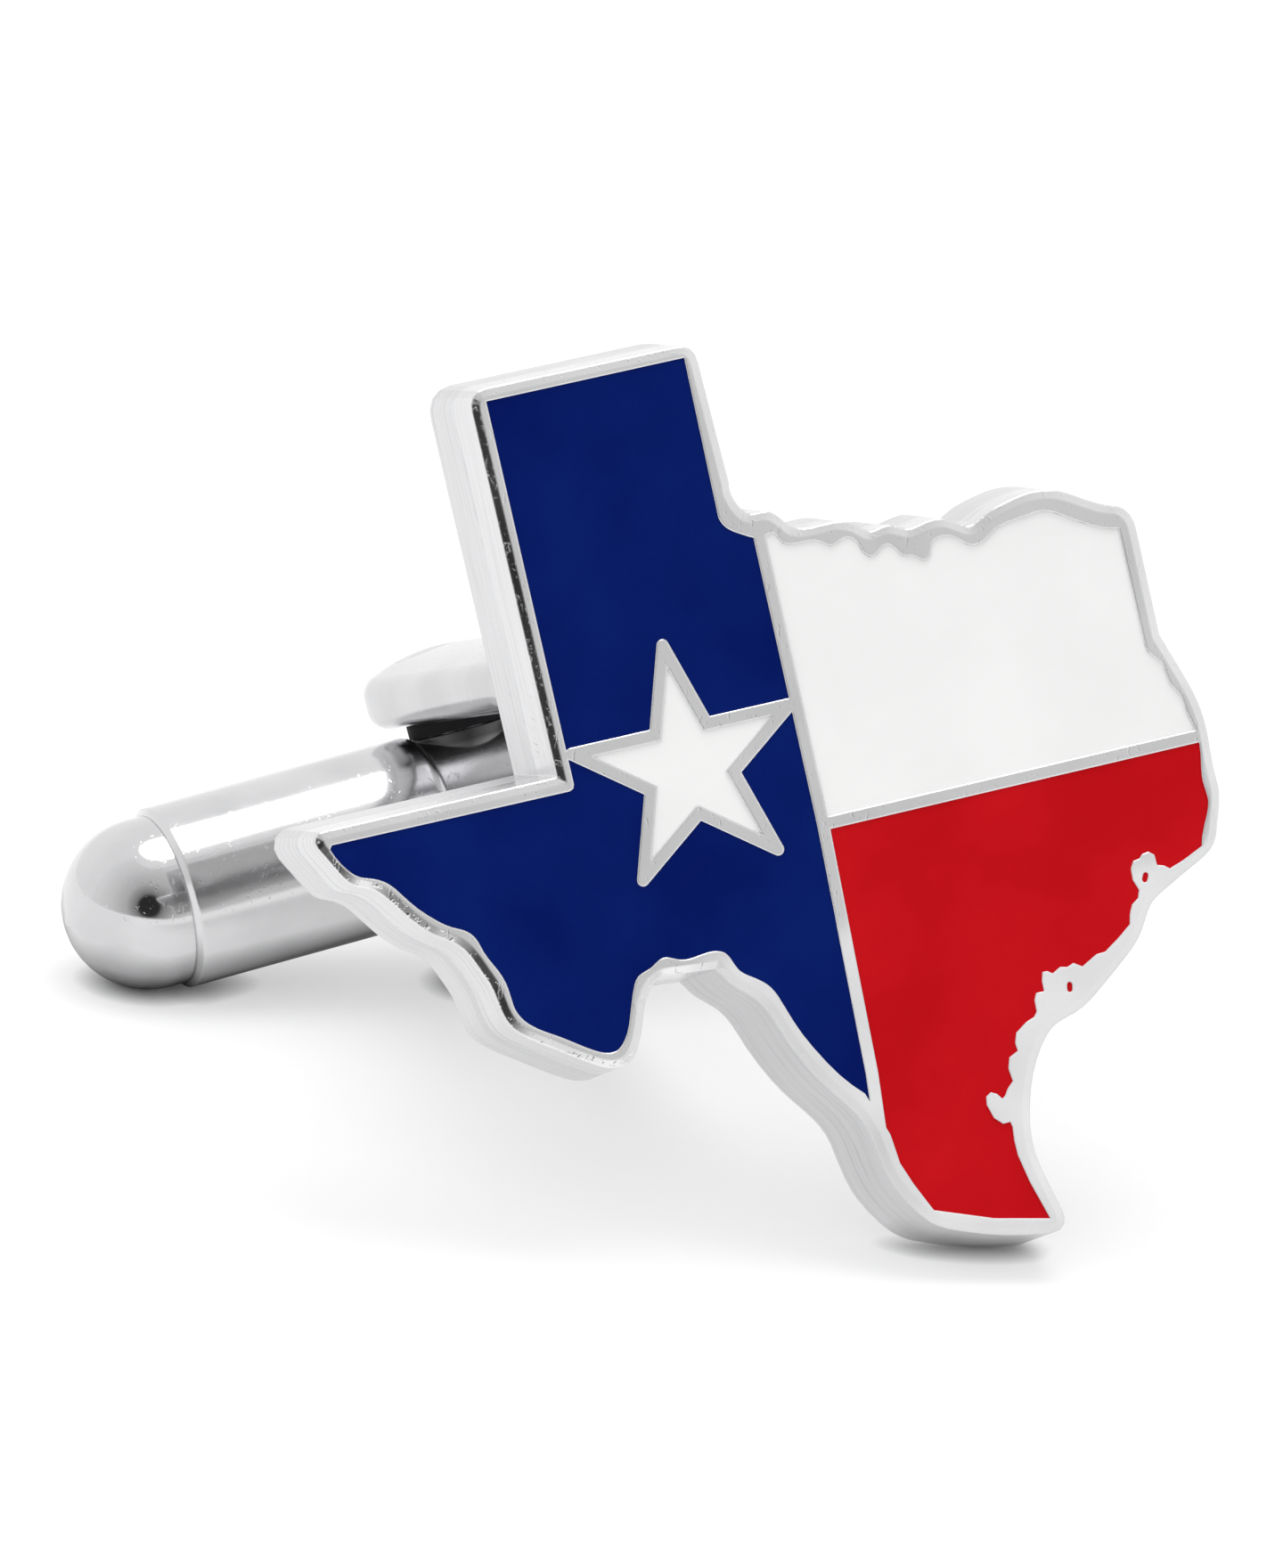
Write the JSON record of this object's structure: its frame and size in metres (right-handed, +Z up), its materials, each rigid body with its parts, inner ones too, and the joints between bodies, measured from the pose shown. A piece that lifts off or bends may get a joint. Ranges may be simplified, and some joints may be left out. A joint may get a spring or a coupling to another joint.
{
  "type": "cufflink",
  "caption": "Enamelled map-shaped cufflink face with a star, on a forked post whose round-ended bar swivels in line to pass a buttonhole and across to lock the cuff.",
  "frame": {"origin": "middle of the bounding box's bottom, on the table the cufflink lies on", "axes": "+Z up from the table, the face towards -Y and leaning back, the post towards +Y, +X to the right of the face"},
  "size_m": [0.0232, 0.0234, 0.0204],
  "materials": {
    "plate_metal": "polished, finely scratched",
    "post_metal": "polished, worn",
    "bar_metal": "polished",
    "cap_metal": "bright polished",
    "pin_metal": "filed",
    "washer_nylon": "black, moulded",
    "solder": "dull",
    "plunger_brass": "turned",
    "spring_steel": "drawn wire",
    "blue_enamel": "glossy",
    "white_enamel": "glossy",
    "red_enamel": "glossy"
  },
  "bodies": {
    "face_and_post": {"face_plate": "plate_metal", "blue_enamel_upper": "blue_enamel", "blue_enamel_lower": "blue_enamel", "white_enamel_field": "white_enamel", "red_enamel_field": "red_enamel", "white_enamel_star": "white_enamel", "red_enamel_islets": "red_enamel", "swivel_fork": "post_metal", "solder_ring": "solder", "pivot_pin": "pin_metal", "pivot_washers": "washer_nylon"},
    "toggle": {"toggle_hub": "bar_metal", "toggle_tube_left": "bar_metal", "toggle_tube_right": "bar_metal", "end_cap_left": "cap_metal", "end_cap_right": "cap_metal", "brake_plunger_left": "plunger_brass", "brake_plunger_right": "plunger_brass", "brake_spring_left": "spring_steel", "brake_spring_right": "spring_steel"}
  },
  "joints": [
    {"name": "toggle_swivel", "type": "hinge", "parent": "face_and_post", "child": "toggle", "pos_m": [-0.00122, 0.00856, 0.0041], "axis": [-0.2573, 0.3812, 0.888], "range_deg": [-90, 90]}
  ]
}
